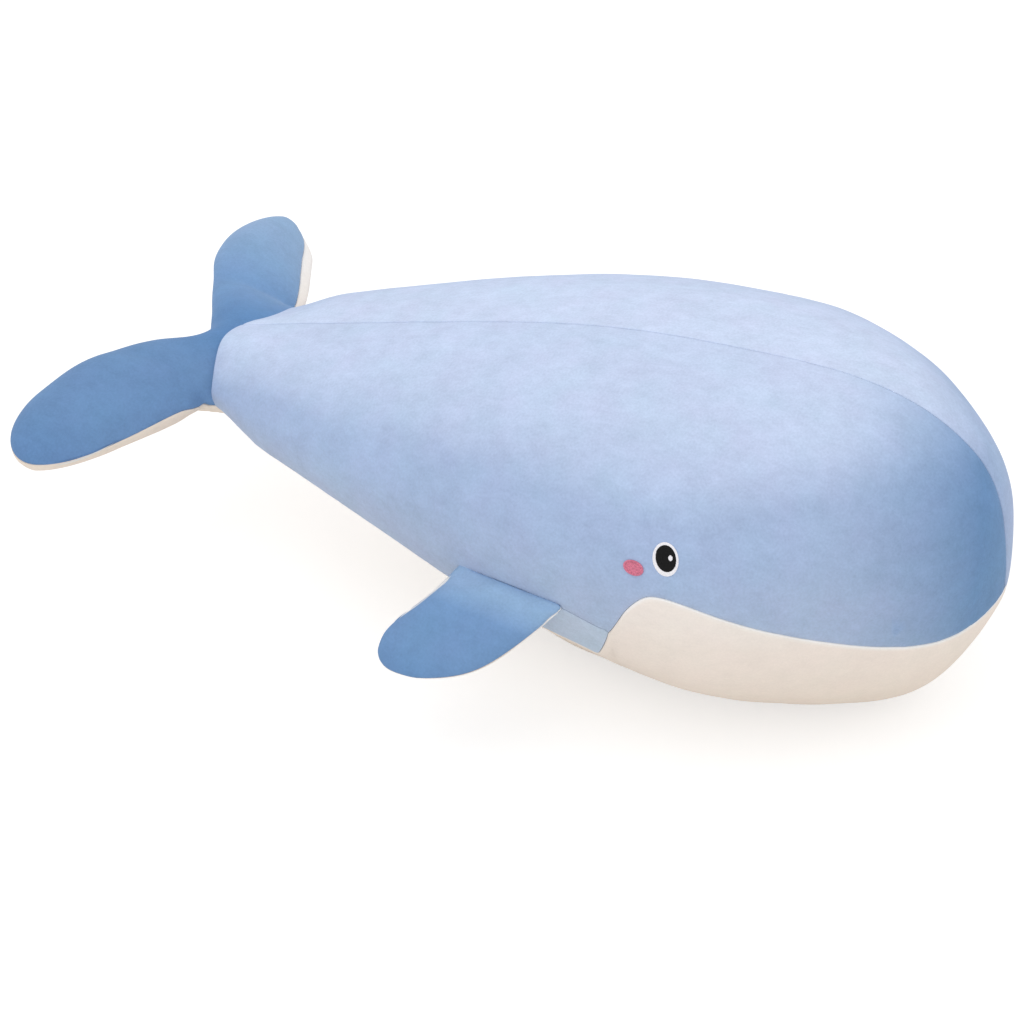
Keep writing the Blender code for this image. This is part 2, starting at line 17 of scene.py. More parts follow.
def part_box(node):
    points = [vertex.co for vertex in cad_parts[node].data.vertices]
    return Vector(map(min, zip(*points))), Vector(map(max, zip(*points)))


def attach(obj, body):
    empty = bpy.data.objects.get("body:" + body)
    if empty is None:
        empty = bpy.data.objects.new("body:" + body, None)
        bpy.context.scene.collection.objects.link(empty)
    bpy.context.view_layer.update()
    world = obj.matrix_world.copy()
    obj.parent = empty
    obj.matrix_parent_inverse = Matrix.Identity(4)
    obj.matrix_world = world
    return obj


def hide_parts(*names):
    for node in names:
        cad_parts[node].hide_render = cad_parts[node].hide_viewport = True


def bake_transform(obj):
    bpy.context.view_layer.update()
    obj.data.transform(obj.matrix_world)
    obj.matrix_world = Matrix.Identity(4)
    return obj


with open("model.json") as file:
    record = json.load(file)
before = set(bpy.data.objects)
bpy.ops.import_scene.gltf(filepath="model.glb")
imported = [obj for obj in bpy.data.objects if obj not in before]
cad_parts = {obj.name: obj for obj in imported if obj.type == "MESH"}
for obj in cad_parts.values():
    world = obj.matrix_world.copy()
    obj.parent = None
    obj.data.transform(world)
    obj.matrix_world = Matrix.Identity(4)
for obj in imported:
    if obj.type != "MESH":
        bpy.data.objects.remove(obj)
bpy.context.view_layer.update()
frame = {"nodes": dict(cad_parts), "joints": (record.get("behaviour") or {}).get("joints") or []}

BODY = "whale_body"
BODY_PANELS = (
    "right_side_panel", "left_side_panel", "belly_panel", "right_flank_gusset", "left_flank_gusset",
)
FRONT_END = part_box("body_stuffing")[1].x
MOUTH_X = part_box("right_side_panel")[0].x
BODY_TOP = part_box("right_side_panel")[1].z
HINGES = {joint["child"]: np.array(joint["pos_m"]) for joint in frame["joints"]}
MOUTH_HEIGHT = float(HINGES["tail"][2])
MOUTH_WIDTH = 0.184

# Fabric and stuffing, in metres
FABRIC = 0.0016
FABRIC_OUT = 0.0024
POINT_WELD = 0.00002
PANEL_REACH = 0.006
RELAX_START = 0.004
PAIR_DEG = 70
CORNER_COS = 0.80
STRAIGHT_COS = 0.96
FLOOR_GAP = 0.0003
# Faces this near the stuffing's rear end are the lip of its hollow
MOUTH_CHAMFER = 0.0015

# Cloth simulation
PRESSURE = 4.0
CLOTH_FRAMES = 20
BODY_SWELL = 0.0030
LIMB_SWELL = 0.0060
FIT_STEPS = 6

# Seams, in metres: how near the rows of points beside a seam are drawn to it, and how deep it lies
SEAM_ROWS = (0.0012, 0.0027, 0.0060, 0.0120, 0.0200)
SEAM_REACH = 12
SEAM_DEPTH = 0.0013
SEAM_SOFTNESS = 0.0013

# Embroidery, in metres
THREAD = 0.00027
THREAD_PITCH = 0.00042
EYE_TILT_DEG = 13
CHEEK_TILT_DEG = -6
EYE_WHITE = (0.0243, 0.0308)
EYE_WHITE_SHIFT = (-0.0005, -0.0009)
PUPIL = (0.0197, 0.0256)
GLINT = (0.0054, 0.0050)
CHEEK = (0.0196, 0.0136)
# What share of the pupil and the cheek lies inside their borders
PUPIL_INSIDE = 0.86
CHEEK_INSIDE = (0.84, 0.80)
GLINT_SHIFT = (0.0044, 0.0006)
PUPIL_STITCH_DEG = 65
CHEEK_STITCH_DEG = 35
# How far the stitches stand above the fabric
EYE_WHITE_LIFT = 0.0009
PUPIL_LIFT = 0.0013
GLINT_LIFT = 0.0023
CHEEK_LIFT = 0.0008
CHEEK_BORDER_LIFT = 0.0016
HOOP_HEIGHT = 0.03
# Where each patch lies from the middle of its CAD piece, forwards and upwards, in metres
EYE_SHIFT = (-0.0009, -0.0014)
CHEEK_SHIFT = (-0.0006, -0.0018)


# Handling of pieces

def only(piece):
    """Selects one piece and makes it active."""
    bpy.ops.object.select_all(action="DESELECT")
    piece.select_set(True)
    bpy.context.view_layer.objects.active = piece


def edit_faces(piece, faces=None):
    """Opens a piece in edit mode with the given faces selected, or all of them."""
    mesh = piece.data
    only(piece)
    bpy.context.tool_settings.mesh_select_mode = (False, False, True)
    for group in (mesh.vertices, mesh.edges, mesh.polygons):
        group.foreach_set("select", np.zeros(len(group), bool))
    chosen = np.zeros(len(mesh.polygons), bool)
    chosen[slice(None) if faces is None else faces] = True
    mesh.polygons.foreach_set("select", chosen)
    bpy.ops.object.mode_set(mode="EDIT")


def edit_edges(piece, keys):
    """Opens a piece in edit mode with the given edges selected."""
    only(piece)
    bpy.context.tool_settings.mesh_select_mode = (False, True, False)
    for group in (piece.data.vertices, piece.data.polygons):
        group.foreach_set("select", np.zeros(len(group), bool))
    for edge in piece.data.edges:
        edge.select = edge.key in keys
    bpy.ops.object.mode_set(mode="EDIT")


def close_edit():
    bpy.ops.object.mode_set(mode="OBJECT")


def apply_all(piece):
    only(piece)
    for modifier in list(piece.modifiers):
        bpy.ops.object.modifier_apply(modifier=modifier.name)


def points_of(piece):
    points = np.empty(len(piece.data.vertices) * 3, np.float32)
    piece.data.vertices.foreach_get("co", points)
    return points.reshape(-1, 3).astype(float)


def normals_of(piece):
    normals = np.empty(len(piece.data.vertices) * 3, np.float32)
    piece.data.vertex_normals.foreach_get("vector", normals)
    return normals.reshape(-1, 3).astype(float)


def move_points(piece, points):
    piece.data.vertices.foreach_set("co", np.asarray(points, np.float32).ravel())
    piece.data.update()


def face_centres(piece):
    centres = np.empty(len(piece.data.polygons) * 3, np.float32)
    piece.data.polygons.foreach_get("center", centres)
    return centres.reshape(-1, 3).astype(float)


def face_normals(piece):
    normals = np.empty(len(piece.data.polygons) * 3, np.float32)
    piece.data.polygons.foreach_get("normal", normals)
    return normals.reshape(-1, 3).astype(float)


def panel_numbers(piece):
    numbers = np.empty(len(piece.data.polygons), np.int32)
    piece.data.polygons.foreach_get("material_index", numbers)
    return numbers


def ease(value, low, high):
    """0 below low, 1 above high, and a soft step between them."""
    share = np.clip((value - low) / (high - low), 0, 1)
    return share * share * (3 - 2 * share)


def copy_of(node, name):
    """A copy of a CAD node's mesh, with its points merged."""
    mesh = frame["nodes"][node].data.copy()
    mesh.materials.clear()
    piece = bpy.data.objects.new(name, mesh)
    bpy.context.collection.objects.link(piece)
    edit_faces(piece)
    bpy.ops.mesh.customdata_custom_splitnormals_clear()
    bpy.ops.mesh.remove_doubles(threshold=POINT_WELD)
    close_edit()
    return piece


def pair_facets(piece, pole=-1):
    """Pairs triangles back into quads, but never across a seam and not in the fan round a pole."""
    edit_faces(piece, [polygon.index for polygon in piece.data.polygons if pole not in polygon.vertices])
    bpy.ops.mesh.tris_convert_to_quads(
        face_threshold=math.radians(PAIR_DEG), shape_threshold=math.pi, topology_influence=1.0,
        materials=True)
    close_edit()


def paint(piece, name, values):
    """Stores a number at each point, for the fabric's finish to read."""
    layer = piece.data.attributes.get(name) or piece.data.attributes.new(name, "FLOAT", "POINT")
    layer.data.foreach_set("value", np.asarray(values, np.float32))


def subdivide(piece, levels):
    modifier = piece.modifiers.new("rounding", "SUBSURF")
    modifier.levels = levels
    modifier.render_levels = levels
    apply_all(piece)


def fit_through(piece, levels):
    """Subdivides a skin so that it still passes through the CAD points it started from."""
    target = points_of(piece)
    cage = target.copy()
    modifier = piece.modifiers.new("rounding", "SUBSURF")
    modifier.levels = 1
    modifier.render_levels = 1
    for _ in range(FIT_STEPS):
        move_points(piece, cage)
        depsgraph = bpy.context.evaluated_depsgraph_get()
        reached = points_of(piece.evaluated_get(depsgraph))[:len(target)]
        cage += target - reached
    move_points(piece, cage)
    modifier.levels = levels
    modifier.render_levels = levels
    apply_all(piece)


def tree_of(places):
    tree = kdtree.KDTree(len(places))
    for number, place in enumerate(places):
        tree.insert(place, number)
    tree.balance()
    return tree


def give_panels(skin, nodes):
    """Gives each face of a skin to the fabric piece whose own points lie over all its corners."""
    trees = [tree_of(points_of(frame["nodes"][node])) for node in nodes]
    points = points_of(skin)
    away = np.array([[min(tree.find(point)[2], PANEL_REACH) for tree in trees] for point in points])
    for node in nodes:
        skin.data.materials.append(bpy.data.materials.new(node + "_mark"))
    for polygon in skin.data.polygons:
        polygon.material_index = int(np.argmin(away[list(polygon.vertices)].sum(axis=0)))


def edge_sides(piece):
    """The panels that meet at each edge of a skin."""
    sides = {}
    for polygon, number in zip(piece.data.polygons, panel_numbers(piece)):
        for key in polygon.edge_keys:
            sides.setdefault(key, []).append(int(number))
    return sides


def neighbours(skin):
    """For each point of a skin, the points that an edge joins it to."""
    beside = {}
    for key in edge_sides(skin):
        for k, other in (key, key[::-1]):
            beside.setdefault(k, []).append(other)
    return beside


def underside_points(skin):
    """Which points of a limb's skin touch no face of its upper fabric."""
    under = np.ones(len(skin.data.vertices), bool)
    for polygon, number in zip(skin.data.polygons, panel_numbers(skin)):
        if number == 0:
            under[list(polygon.vertices)] = False
    return under


def seam_points(skin):
    """Points where two panels meet."""
    return {k for key, sides in edge_sides(skin).items() if len(set(sides)) > 1 for k in key}


def rim_points(skin):
    """Points on the open edge of a skin."""
    return {k for key, sides in edge_sides(skin).items() if len(sides) == 1 for k in key}


def distance_from(points, places):
    """Distance of each point from the nearest of some places."""
    tree = tree_of(places)
    return np.array([tree.find(point)[2] for point in points])


def seam_neighbours(skin):
    """For each seam point, the points next to it along the seam."""
    beside = {}
    for key, sides in edge_sides(skin).items():
        if len(set(sides)) > 1:
            for k, other in (key, key[::-1]):
                beside.setdefault(k, []).append(other)
    return beside


def even_seams(skin, repeats):
    """Smooths each seam along its own line, but not its corners or the places where seams meet."""
    points = points_of(skin)
    beside = {k: ends for k, ends in seam_neighbours(skin).items() if len(ends) == 2}
    inner = sorted(beside)
    ends = np.array([beside[k] for k in inner])
    ways = points[ends] - points[inner][:, None]
    ways /= np.maximum(np.linalg.norm(ways, axis=2, keepdims=True), 1e-9)
    straightness = -(ways[:, 0] * ways[:, 1]).sum(axis=1)
    share = 0.5 * ease(straightness, CORNER_COS, STRAIGHT_COS)[:, None]
    for _ in range(repeats):
        points[inner] += share * (points[ends].mean(axis=1) - points[inner])
    move_points(skin, points)


def relax(skin, held, repeats):
    """Evens out the facets of a skin, but not the held points."""
    away = distance_from(points_of(skin), points_of(skin)[sorted(held)])
    group = skin.vertex_groups.new(name="free")
    for number, weight in enumerate(ease(away, 0.0, RELAX_START)):
        group.add([number], float(weight), "REPLACE")
    modifier = skin.modifiers.new("relaxed", "SMOOTH")
    modifier.factor = 0.5
    modifier.iterations = repeats
    modifier.vertex_group = group.name
    apply_all(skin)
    skin.vertex_groups.clear()


def stuff(skin, held, most):
    """Swells a skin by a short cloth simulation that holds some points, and caps how far any moves."""
    before = points_of(skin)
    group = skin.vertex_groups.new(name="held")
    group.add([int(k) for k in held], 1.0, "REPLACE")
    cloth = skin.modifiers.new("stuffing", "CLOTH")
    settings = cloth.settings
    settings.quality = 5
    settings.mass = 0.3
    settings.tension_stiffness = 15
    settings.compression_stiffness = 15
    settings.bending_stiffness = 2
    settings.vertex_group_mass = group.name
    settings.use_pressure = True
    settings.uniform_pressure_force = PRESSURE
    settings.effector_weights.gravity = 0
    cloth.collision_settings.use_collision = False
    for number in range(1, CLOTH_FRAMES + 1):
        bpy.context.scene.frame_set(number)
    apply_all(skin)
    bpy.context.scene.frame_set(1)
    skin.vertex_groups.clear()
    moved = points_of(skin) - before
    length = np.linalg.norm(moved, axis=1, keepdims=True)
    capped = moved * (most * np.tanh(length / most) / np.maximum(length, 1e-9))
    move_points(skin, before + capped)


def crumple(skin, size, depth, weights=None):
    """Soft unevenness of the stuffing, from a clouds texture, as deep as the weights allow."""
    texture = bpy.data.textures.new("stuffing_lumps", "CLOUDS")
    texture.noise_scale = size
    texture.noise_depth = 2
    group = skin.vertex_groups.new(name="lumps")
    for number, weight in enumerate(np.ones(len(skin.data.vertices)) if weights is None else weights):
        group.add([number], float(weight), "REPLACE")
    modifier = skin.modifiers.new("lumps", "DISPLACE")
    modifier.texture = texture
    modifier.texture_coords = "LOCAL"
    modifier.strength = depth
    modifier.mid_level = 0.5
    modifier.vertex_group = group.name
    apply_all(skin)
    skin.vertex_groups.clear()


def keep_off_floor(piece):
    points = points_of(piece)
    points[:, 2] = np.maximum(points[:, 2], FLOOR_GAP)
    move_points(piece, points)


def cut_panel(skin, number, name):
    """One panel of a skin, as a piece of its own."""
    piece = bpy.data.objects.new(name, skin.data.copy())
    bpy.context.collection.objects.link(piece)
    edit_faces(piece, np.nonzero(panel_numbers(piece) != number)[0])
    bpy.ops.mesh.delete(type="FACE")
    close_edit()
    piece.data.materials.clear()
    return piece


def along(way, lengths, distance):
    """The place at some distance along a way of points."""
    step = min(max(int(np.searchsorted(lengths, distance)), 1), len(way) - 1)
    share = (distance - lengths[step - 1]) / max(lengths[step] - lengths[step - 1], 1e-9)
    return way[step - 1] + (way[step] - way[step - 1]) * min(share, 1.0)


def joined_pull(pulls):
    """One move from the moves towards each seam nearby. Those that point the same way count once."""
    if len(pulls) == 1:
        return pulls[0]
    units = [pull / max(np.linalg.norm(pull), 1e-9) for pull in pulls]
    shared = np.mean([sum(max(0.0, a.dot(b)) for b in units) for a in units])
    return sum(pulls) / max(shared, 1.0)


def draw_in_seams(skin, slides=None, shares=None):
    """Slides the rows of points beside the seams towards them, then sinks the seams into the stuffing.

    The slides say how much of its way each point goes, and the shares how much of its depth.
    """
    points = points_of(skin)
    slides = np.ones(len(points)) if slides is None else slides
    shares = np.ones(len(points)) if shares is None else shares
    beside = neighbours(skin)
    row = seam_points(skin)
    ways = {k: ([points[k]], [0.0]) for k in row}
    moved = points.copy()
    away = {k: 0.0 for k in row}
    for number in range(SEAM_REACH):
        found = {}
        for k in row:
            for other in beside[k]:
                if other not in ways:
                    found.setdefault(other, []).append(k)
        for other, before in found.items():
            pulls = []
            reached = []
            for k in before:
                way, lengths = ways[k]
                total = lengths[-1] + np.linalg.norm(points[other] - points[k])
                target = min(total, SEAM_ROWS[number]) if number < len(SEAM_ROWS) else total
                reached.append(target)
                pulls.append(along([*way, points[other]], [*lengths, total], target) - points[other])
            nearest = int(np.argmin(reached))
            way, lengths = ways[before[nearest]]
            total = lengths[-1] + np.linalg.norm(points[other] - points[before[nearest]])
            ways[other] = ([*way, points[other]], [*lengths, total])
            moved[other] = points[other] + slides[other] * joined_pull(pulls)
            away[other] = total + slides[other] * (reached[nearest] - total)
        row = set(found)
    normals = normals_of(skin)
    for k, distance in away.items():
        moved[k] -= normals[k] * SEAM_DEPTH * shares[k] * math.exp(-distance / SEAM_SOFTNESS)
    move_points(skin, moved)


def line_with_backing(piece):
    """Gives a sheet of fabric its thickness, inwards."""
    modifier = piece.modifiers.new("cloth", "SOLIDIFY")
    modifier.thickness = FABRIC
    modifier.offset = -1
    apply_all(piece)
    only(piece)
    bpy.ops.object.shade_smooth()


# Finishes

WHITE = (1.0, 1.0, 1.0, 1.0)
# The two ends of the pile's drift in colour
COOL = (0.93, 1.0, 1.0, 1.0)
WARM = (1.0, 0.95, 1.0, 1.0)


class Sum:
    """A shader socket that can be used in a sum."""

    def __init__(self, finish, socket):
        self.finish = finish
        self.socket = socket

    def math(self, operation, first, second):
        return self.finish.node("ShaderNodeMath", {"operation": operation}, {0: first, 1: second})

    def __add__(self, other):
        return self.math("ADD", self, other)

    def __sub__(self, other):
        return self.math("SUBTRACT", self, other)

    def __rsub__(self, other):
        return self.math("SUBTRACT", other, self)

    def __mul__(self, other):
        return self.math("MULTIPLY", self, other)

    __radd__ = __add__
    __rmul__ = __mul__


class Finish:
    """A material under construction, or the world's."""

    def __init__(self, name, owners=bpy.data.materials, shader="Principled BSDF"):
        self.material = owners.new(name)
        self.material.use_nodes = True
        self.tree = self.material.node_tree
        self.shader = self.tree.nodes[shader]

    def node(self, kind, settings=None, inputs=None, output=0):
        """Adds a node. Its settings come first, then the values or links of its sockets."""
        made = self.tree.nodes.new(kind)
        for name, value in (settings or {}).items():
            if name == "stops":
                for extra in value[2:]:
                    made.color_ramp.elements.new(extra[0])
                for element, (place, shade) in zip(made.color_ramp.elements, value):
                    element.position = place
                    element.color = (shade, shade, shade, 1)
            else:
                setattr(made, name, value)
        self.fill(made, inputs or {})
        return Sum(self, made.outputs[output])

    def fill(self, made, inputs):
        for name, value in inputs.items():
            if isinstance(value, Sum):
                self.tree.links.new(value.socket, made.inputs[name])
            else:
                made.inputs[name].default_value = value

    def place(self):
        return self.node("ShaderNodeTexCoord", output=3)

    def noise(self, scale, detail=2.0, stretch=None):
        place = self.place()
        if stretch:
            place = self.node("ShaderNodeMapping", None, {"Vector": place, "Scale": stretch})
        return self.node("ShaderNodeTexNoise", None, {"Vector": place, "Scale": scale, "Detail": detail})

    def painted(self, name):
        return self.node("ShaderNodeAttribute", {"attribute_name": name}, output=2)

    def mix(self, share, first, second, blend="MIX"):
        """A mix of two colours."""
        settings = {"data_type": "RGBA", "blend_type": blend, "clamp_factor": True}
        return self.node("ShaderNodeMix", settings, {0: share, 6: first, 7: second}, output=2)

    def shade(self, colour, brightness):
        """A colour made lighter or darker by a number."""
        return self.node(
            "ShaderNodeVectorMath", {"operation": "SCALE"}, {0: colour, "Scale": brightness})

    def surface(self, **inputs):
        self.fill(self.shader, {name.replace("_", " "): value for name, value in inputs.items()})
        return self.material


def linear(red, green, blue):
    """A colour as the photograph shows it, from 0 to 255, turned into Blender's linear values."""
    def channel(value):
        value = value / 255
        return value / 12.92 if value <= 0.04045 else ((value + 0.055) / 1.055) ** 2.4
    return (channel(red), channel(green), channel(blue), 1.0)


def velour(name, low, middle, high, stroked=WHITE, sheen=0.12, mottle=1.0):
    """Short brushed pile. The paint called lit is painted light, mixing shaded and lit tones, and the
    painted shade darkens the pile towards its tint.
    """
    finish = Finish(name)
    clouds = finish.noise(11, 3.0)
    patches = finish.noise(42, 4.0)
    strokes = finish.noise(130, 3.0, (0.5, 1.0, 1.0))
    pile = finish.noise(420, 2.0)
    lit = finish.painted("lit")
    # Painted light: lit picks between the shaded low, middle and lit high tones. Painted shade then
    # multiplies towards its tint.
    tone = finish.mix(2 * lit, low, middle)
    tone = finish.mix(2 * lit - 1, tone, high)
    tone = finish.mix(finish.painted("stroked"), tone, stroked, "MULTIPLY")
    tone = finish.mix(mottle, tone, finish.mix(finish.noise(24, 2.0), COOL, WARM), "MULTIPLY")
    mottling = 0.14 * clouds + 0.18 * patches + 0.16 * strokes + 0.24 * pile
    level = 1 + mottle * (mottling - 0.36)
    height = 0.5 * pile + 0.35 * strokes + 0.5 * patches
    bump = finish.node("ShaderNodeBump", None, {"Strength": 0.25, "Distance": 0.0012, "Height": height})
    return finish.surface(
        Base_Color=finish.shade(tone, level),
        Roughness=0.95,
        Normal=bump,
        Sheen_Weight=sheen,
        Sheen_Roughness=0.4,
        Specular_IOR_Level=0.15,
    )


def thread_finish(name, colour, sheen=0.15, contrast=0.3):
    """Embroidery thread, with a soft gloss that breaks up along the twist."""
    finish = Finish(name)
    twist = finish.noise(900, 1.0)
    bump = finish.node("ShaderNodeBump", None, {"Strength": 0.3, "Distance": 0.0002, "Height": twist})
    return finish.surface(
        Base_Color=finish.shade(colour[:3], 1 + contrast * (twist - 0.5)),
        Roughness=0.6,
        Specular_IOR_Level=0.25,
        Normal=bump,
        Sheen_Weight=sheen,
    )


def fill_finish():
    finish = Finish("fibre_fill")
    tufts = finish.noise(45, 4.0)
    bump = finish.node("ShaderNodeBump", None, {"Strength": 0.6, "Distance": 0.004, "Height": tufts})
    white = linear(240, 240, 238)
    return finish.surface(
        Base_Color=finish.shade(white[:3], 0.85 + 0.2 * tufts),
        Roughness=1.0,
        Normal=bump,
    )


# Each finish's three tones run from shaded low through middle to lit high; the paint called lit picks
# between them as painted light.
BODY_BLUES = (linear(180, 194, 217), linear(173, 192, 223), linear(211, 223, 246))
GUSSET_BLUES = (linear(194, 208, 224), linear(197, 211, 227), linear(202, 215, 232))
LIMB_BLUES = (linear(112, 147, 189), linear(124, 160, 202), linear(160, 188, 218))
CREAMS = (linear(243, 229, 214), linear(247, 235, 224), linear(255, 254, 252))
# The tints that painted shade darkens towards: at the nose, and on the tail and flippers.
NOSE_SHADE_TINT = (0.40, 0.58, 0.72, 1.0)
LIMB_SHADE_TINT = (0.62, 0.80, 0.93, 1.0)


def make_finishes():
    return {
        "light_blue_plush": velour("light_blue_velour", *BODY_BLUES, NOSE_SHADE_TINT),
        "gusset_plush": velour("grey_blue_velour", *GUSSET_BLUES),
        "mid_blue_plush": velour("mid_blue_velour", *LIMB_BLUES, LIMB_SHADE_TINT),
        "cream_plush": velour("cream_velour", *CREAMS, sheen=0.05, mottle=0.4),
        "white_thread": thread_finish("white_thread", linear(250, 248, 252)),
        "black_thread": thread_finish("black_thread", linear(12, 12, 13), sheen=0.0),
        "pink_thread": thread_finish("pink_thread", linear(222, 130, 155), contrast=1.2),
        "fibre_fill": fill_finish(),
    }


def dress(piece, slot, finishes, *nodes):
    """Gives a piece its finish and hides the CAD nodes it stands for."""
    piece.data.materials.clear()
    piece.data.materials.append(finishes[slot])
    if nodes:
        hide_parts(*nodes)
    return piece


# Body

def open_at_mouth(skin):
    """Takes away the hollow for the tail's root, which only the stuffing has."""
    centres = face_centres(skin)
    spine = np.column_stack((
        np.clip(centres[:, 0], MOUTH_X, FRONT_END - BODY_TOP / 2),
        np.zeros(len(centres)),
        np.full(len(centres), MOUTH_HEIGHT),
    ))
    outward = centres - spine
    outward /= np.linalg.norm(outward, axis=1, keepdims=True)
    facing = (face_normals(skin) * outward).sum(axis=1)
    lip = centres[:, 0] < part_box("body_stuffing")[0].x + MOUTH_CHAMFER
    edit_faces(skin, np.nonzero((facing < 0.4) | lip)[0])
    bpy.ops.mesh.delete(type="FACE")
    close_edit()


def lengthen_rim(skin):
    """Adds a row of faces along the open edge and says which points are new."""
    count = len(skin.data.vertices)
    open_edges = {key for key, sides in edge_sides(skin).items() if len(sides) == 1}
    edit_edges(skin, open_edges)
    bpy.ops.mesh.extrude_edges_move()
    close_edit()
    return slice(count, None)


def reach_mouth(skin):
    """Carries the skin straight on, as far as its fabric goes over the tail's root."""
    points = points_of(skin)
    ahead = neighbours(skin)
    for k in rim_points(skin):
        way = points[max(ahead[k], key=lambda other: points[other][0])] - points[k]
        points[k] += way / way[0] * (MOUTH_X - points[k][0])
    move_points(skin, points)


def make_body_skin():
    """The stuffed body's skin, open at the tail mouth, with each face given to its panel."""
    skin = copy_of("body_stuffing", "body_skin")
    open_at_mouth(skin)
    give_panels(skin, BODY_PANELS)
    pair_facets(skin, pole=int(np.argmax(points_of(skin)[:, 0])))
    move_points(skin, points_of(skin) + normals_of(skin) * FABRIC_OUT)
    reach_mouth(skin)
    fill_seam_dip(skin)
    lower_belly_seam(skin)
    fit_chin_step(skin)
    end_slits_at_chin(skin)
    fit_through(skin, 2)
    even_seams(skin, 12)
    held = seam_points(skin) | rim_points(skin)
    relax(skin, held, 10)
    stuff(skin, held, BODY_SWELL)
    subdivide(skin, 1)
    return skin


# Where the chin's step is sewn: places on the right side, and how far each is moved, in metres
STEP_MOVES = (
    ((0.1556, -0.208, 0.117), (-0.0044, 0, -0.0039)),
    ((0.1375, -0.207, 0.118), (0, 0, -0.0035)),
    ((0.1856, -0.227, 0.195), (-0.0020, 0, -0.0007)),
    ((0.1943, -0.226, 0.210), (0.0016, 0, -0.0024)),
)
SLIT_END_MOVE = (-0.0024, 0, -0.0008)
CREASE_END = 0.445


def end_slits_at_chin(skin):
    """Joins the front end of each slit seam to the belly seam, and takes out the crease before it."""
    gussets = {BODY_PANELS.index(side + "_flank_gusset") for side in ("right", "left")}
    belly = BODY_PANELS.index("belly_panel")
    for side in (-1, 1):
        sides = edge_sides(skin)
        around = {}
        for key, found in sides.items():
            for k in key:
                around.setdefault(k, set()).update(found)
        points = points_of(skin)
        meets = [
            k for k, found in around.items()
            if belly in found and found & gussets and len(found) == 3 and points[k][1] * side > 0
        ]
        foot = max(meets, key=lambda k: points[k][0])
        head = next(
            k for key, found in sides.items() if foot in key and belly not in found
            for k in key if k != foot and found[0] != found[1]
        )
        crease = front_crease(skin, head, foot)
        place = points[head] + SLIT_END_MOVE
        edit_edges(skin, crease)
        bpy.ops.mesh.dissolve_edges(use_verts=True)
        close_edit()
        moved = points_of(skin)
        ends = [int(np.argmin(np.linalg.norm(moved - points[k], axis=1))) for k in (foot, head)]
        moved[ends] = place
        move_points(skin, moved)
        edit_faces(skin)
        bpy.ops.mesh.remove_doubles(threshold=POINT_WELD)
        close_edit()


def front_crease(skin, head, foot):
    """The edges of the line of points that goes on forwards from a slit seam."""
    faces = [set(polygon.vertices) for polygon in skin.data.polygons]
    beside = neighbours(skin)
    points = points_of(skin)
    way = [head]
    ahead = [k for k in beside[head] if k != foot and points[k][0] > points[head][0]]
    step = max(ahead, key=lambda k: points[k][0]) if ahead else None
    crease = set()
    while step is not None:
        crease.add(tuple(sorted((way[-1], step))))
        behind = way[-1]
        way.append(step)
        near = [face for face in faces if step in face and behind in face]
        if len(beside[step]) != 4:
            break
        shared = set().union(*near)
        ahead = [k for k in beside[step] if k not in shared]
        step = ahead[0] if len(ahead) == 1 and points[ahead[0]][0] < CREASE_END else None
    return crease


def fit_chin_step(skin):
    points = points_of(skin)
    seam = sorted(seam_points(skin))
    for place, move in STEP_MOVES:
        for mirror in ((1, 1, 1), (1, -1, 1)):
            away = np.linalg.norm(points[seam] - np.multiply(place, mirror), axis=1)
            points[seam[int(np.argmin(away))]] += np.multiply(move, mirror)
    move_points(skin, points)


# The CAD seams' own dip, which the drawn-in seams here take the place of
CAD_DIP = 0.001


def fill_seam_dip(skin):
    belly = BODY_PANELS.index("belly_panel")
    dipped = {
        k for key, found in edge_sides(skin).items()
        if len(set(found)) > 1 and (belly in found or max(found) < belly) for k in key
    }
    points = points_of(skin)
    normals = normals_of(skin)
    points[sorted(dipped)] += normals[sorted(dipped)] * CAD_DIP
    move_points(skin, points)


# Where the belly seam lies lower than its pattern, in metres
SEAM_SAG = 0.008
SAG_START = (-0.34, -0.24)
SAG_END = (0.150, 0.180)


def lower_belly_seam(skin):
    """Slides the belly seam down where the stuffing has pulled it under the body."""
    belly = BODY_PANELS.index("belly_panel")
    sides = edge_sides(skin)
    seam = {k for key, found in sides.items() if belly in found and len(set(found)) > 1 for k in key}
    below = {}
    for key, found in sides.items():
        if set(found) == {belly}:
            for k, other in (key, key[::-1]):
                if k in seam and other not in seam:
                    below[k] = other
    points = points_of(skin)
    moved = points.copy()
    for k, other in below.items():
        share = ease(points[k][0], *SAG_START) * (1 - ease(points[k][0], *SAG_END))
        way = points[other] - points[k]
        moved[k] += way / np.linalg.norm(way) * SEAM_SAG * share
    move_points(skin, moved)


def shorten_gussets(skin):
    """Ends each gusset under the rear corner of its flipper, where the side panel goes on."""
    numbers = panel_numbers(skin)
    centres = face_centres(skin)
    for side in ("right", "left"):
        gusset = BODY_PANELS.index(side + "_flank_gusset")
        hidden = (numbers == gusset) & (centres[:, 0] < GUSSET_END)
        numbers[hidden] = BODY_PANELS.index(side + "_side_panel")
    skin.data.polygons.foreach_set("material_index", numbers)


# How the body's rear rim lies over the tail: drawn back above, sunk on its left and raised at its right
RIM_BULGE = 0.017
RIM_SINK = 0.009
RIM_RAISE = (0.0, 0.005, 0.010)
RIM_REACH = 0.070
GUSSET_END = 0.012
# How far the belly tucks in under its seam, and where, in metres
TUCK_FRONT = 0.019
TUCK_REAR = 0.012
# The belly seam's height at the flippers, and its slope and rise behind them
BELLY_SEAM_HEIGHT = 0.120
BELLY_SEAM_SLOPE = 0.09
BELLY_SEAM_RISE = 0.03
BELLY_SEAM_BEND = 0.12
# The crown seam lies less deep than the others
CROWN_EASE = 0.5
# The faces are small round the nose, and stay where they are there, in metres from it
NOSE_FAN = (0.020, 0.050)
